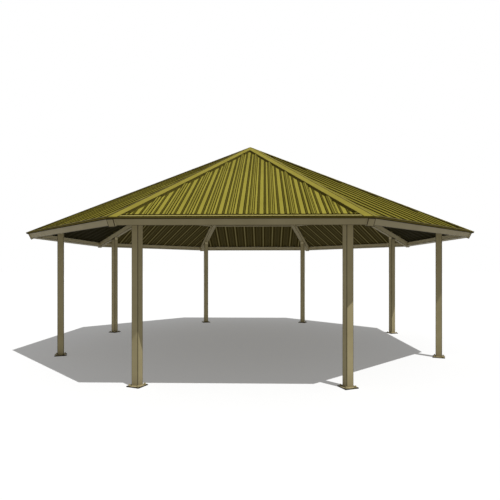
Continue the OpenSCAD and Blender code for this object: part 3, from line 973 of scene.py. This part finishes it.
bm = bmesh.new()
made = bmesh.ops.create_cube(bm, size=1.0)
top = [v for v in made["verts"] if v.co.z > 0]
bmesh.ops.scale(bm, vec=((RIB_PITCH - RIB_TOP) / (RIB_PITCH - RIB_FOOT), 1, 1), verts=top)
closure_block = pattern("closure_block", bm)


def closure_place(x0, x1, side):
    """A matrix that stretches the block between two ribs, along the hip line."""
    start, end = (Vector((side * x, -along_hip(x, CAP_WING - SET_BACK), 0)) for x in (x0, x1))
    along = end - start
    middle = (start + end) / 2 + Vector((0, 0, (SHEET + cap_level) / 2))
    back = Vector((side * cos(hip_lean), -sin(hip_lean), 0)).normalized() * FOAM_DEEP
    columns = (along, back, Vector((0, 0, cap_level - SHEET)))
    matrix = Matrix([list(row) for row in zip(*columns)]).to_4x4()
    return Matrix.Translation(middle) @ matrix


print("one closure block", len(closure_block.polygons), "faces")

# %% [markdown]
# The blocks are set between the feet of neighbouring ribs, on both sides of a face, as far
# down as the flange of the eave trim.

# %% Fill the gaps under the caps
for k in range(1, 9):
    bm = bmesh.new()
    for rib in rib_lines(eave_out * tan(half)):
        if rib > 0 and along_hip(rib, CAP_WING) < trim_edge:
            for side in (-1, 1):
                end = rib - RIB_FOOT / 2
                start = max(rib - RIB_PITCH + RIB_FOOT / 2, 0.0)
                stamp(bm, closure_block, face_frame(k) @ closure_place(start, end, side))
    bmesh.ops.recalc_face_normals(bm, faces=bm.faces)
    finish_piece(f"hip_closures_{k}", bm, [rubber])

# %% [markdown]
# ## Anchor bolts
# Each base plate is held by four cast-in bolts. Only the end of the rod shows, with a washer
# and a hexagonal nut. The chamfer of a nut is a bevel on the rim of its top face, and the rod
# has one too. The record gives the width of the circle that the bolts stand on.

# %% Model an anchor bolt and set four at each column
CHAMFER = 0.0015


def bevel_top(bm, bar, segments):
    """Bevels the rim of the top face of a bar."""
    top = max(v.co.z for v in bar)
    rim = [e for e in bm.edges if all(v in bar and v.co.z > top - 0.001 for v in e.verts)]
    bmesh.ops.bevel(bm, geom=rim, offset=CHAMFER, segments=segments, profile=0.5,
        affect="EDGES", material=-1)


bm = bmesh.new()
prism(bm, 20, 0.022, 0.003, 0.0)    # washer
bevel_top(bm, prism(bm, 6, 0.0168, 0.016, 0.003), 2)    # nut
bevel_top(bm, prism(bm, 12, 0.0095, 0.026, 0.002), 1)    # rod
anchor_bolt = pattern("anchor_bolt", bm)

for i in range(1, 9):
    bm = bmesh.new()
    off = anchors[i - 1]["dims"]["pcd_mm"] / 2000 / 2 ** 0.5
    for x in (-off, off):
        for y in (-off, off):
            stamp(bm, anchor_bolt, column_frame(i) @ Matrix.Translation((x, y, PLATE_THICK)))
    finish_piece(f"anchor_bolts_{i}", bm, [steel_paint])

# %% [markdown]
# ## Welds
# A fillet weld runs round the foot of each column. A bead is a thin bar with rings cut into it,
# and every other ring is swollen a little, which is how the pool of metal freezes as the torch
# moves along.

# %% Lay the weld beads
BEAD_RADIUS, RING_STEP, CORNER_LAP = 0.005, 0.004, 0.004
SWOLLEN, SUNKEN = 1.12, 0.95


def bead(length):
    bm = bmesh.new()
    bmesh.ops.create_cone(bm, cap_ends=True, segments=8, radius1=BEAD_RADIUS,
        radius2=BEAD_RADIUS, depth=length)
    rings = int(length / RING_STEP)
    long_edges = [e for e in bm.edges if abs(e.verts[0].co.z - e.verts[1].co.z) > length / 2]
    bmesh.ops.subdivide_edges(bm, edges=long_edges, cuts=rings, use_grid_fill=True)
    for v in bm.verts:
        ring = round((v.co.z + length / 2) / length * (rings + 1))
        swell = SWOLLEN if ring % 2 else SUNKEN
        v.co.x, v.co.y = v.co.x * swell, v.co.y * swell
    return pattern("bead", bm)


column_bead = bead(TUBE_WIDE - 2 * TUBE_CORNER + CORNER_LAP)
beside_tube = Matrix.Translation((TUBE_WIDE / 2, 0, PLATE_THICK)) @ Matrix.Rotation(pi / 2, 4, "X")
for i in range(1, 9):
    bm = bmesh.new()
    for quarter in range(4):
        stamp(bm, column_bead, column_frame(i) @ turn_z(quarter * pi / 2) @ beside_tube)
    finish_piece(f"column_welds_{i}", bm, [steel_paint])

# %% [markdown]
# ## Two kinds of ray
# The stage has to look white, but a floor and a sky that shone so brightly would drown the
# roof in light. The Light Path node parts the two: camera, mirror and glass rays see one
# shader, and the light that falls on the pavilion comes from a dimmer one.

# %% Helper for what is seen and what gives light
WHITE = (1, 1, 1, 1)


def part_rays(tree, output, lighting, shown):
    """Wires two shaders to an output: one that lights the scene, and one that is seen."""
    rays = node(tree, "LightPath", (-4, 0))
    seen = greatest(tree, (-2, 0), *(rays.outputs[f"Is {kind} Ray"] for kind in
        ("Camera", "Glossy", "Transmission")))
    parted = node(tree, "MixShader", (1, 0))
    wire(tree, seen, parted.inputs["Fac"])
    wire(tree, lighting.outputs[0], parted.inputs[1])
    wire(tree, shown.outputs[0], parted.inputs[2])
    wire(tree, parted.outputs[0], node(tree, output, (2, 0)).inputs["Surface"])


print("ray helper ready")

# %% [markdown]
# ## Stage
# A pale floor takes the shadow. Part of what it shows is a glow of its own, which lifts the
# sunlit floor to white and keeps the shadow pale. Its dimmer shader lights the roof from below.

# %% Lay the floor
FLOOR_BOUNCE, FLOOR_GLOW = 0.55, 0.215
FLOOR_HALF = 150

floor_paint = bpy.data.materials.new("studio_floor")
floor_paint.use_nodes = True
tree = floor_paint.node_tree
tree.nodes.clear()
bounced = node(tree, "Emission", (-1, 1), {"Color": WHITE, "Strength": FLOOR_BOUNCE})
bright = node(tree, "BsdfDiffuse", (-1, -1), {"Color": (0.98, 0.98, 0.98, 1)})
glow = node(tree, "Emission", (-1, -2), {"Color": WHITE, "Strength": 1.0})
lifted = node(tree, "MixShader", (0, -1), {"Fac": FLOOR_GLOW})
wire(tree, bright.outputs[0], lifted.inputs[1])
wire(tree, glow.outputs[0], lifted.inputs[2])
part_rays(tree, "OutputMaterial", bounced, lifted)

bm = bmesh.new()
bmesh.ops.create_grid(bm, x_segments=1, y_segments=1, size=FLOOR_HALF)
floor_mesh = bpy.data.meshes.new("studio_floor")
bm.to_mesh(floor_mesh)
bm.free()
floor = bpy.data.objects.new("studio_floor", floor_mesh)
paint(floor, floor_paint)
scene.collection.objects.link(floor)
print("floor laid")

# %% [markdown]
# ## Light
# One sun, high and from the right, gives the roof its pattern of lit and shaded folds. The
# sky is an even grey that fills the shade. The two together add up to about one on a level
# surface, so that each colour renders as it was written.

# %% Light the scene
SKY_FILL, SUN_SHARE = 0.20, 0.95
SUN_WIDTH = radians(0.4)
TOWARDS_SUN = Vector((0.294, -0.309, 1.0))

sky = bpy.data.worlds.new("studio_sky")
scene.world = sky
sky.use_nodes = True
tree = sky.node_tree
tree.nodes.clear()
fill = node(tree, "Background", (-1, 1), {"Color": WHITE, "Strength": SKY_FILL})
white = node(tree, "Background", (-1, -1), {"Color": WHITE, "Strength": 1.0})
part_rays(tree, "OutputWorld", fill, white)

sun_data = bpy.data.lights.new("sun", "SUN")
sun_data.energy = SUN_SHARE * pi
sun_data.angle = SUN_WIDTH
sun = bpy.data.objects.new("sun", sun_data)
sun.rotation_euler = TOWARDS_SUN.to_track_quat("Z", "Y").to_euler()
scene.collection.objects.link(sun)
print("lit")

# %% [markdown]
# ## Finish
# The Standard view keeps colours as they are. The model with its screws and bolts has to stay
# inside the CAD model's box.

# %% Finish
scene.view_settings.view_transform = "Standard"
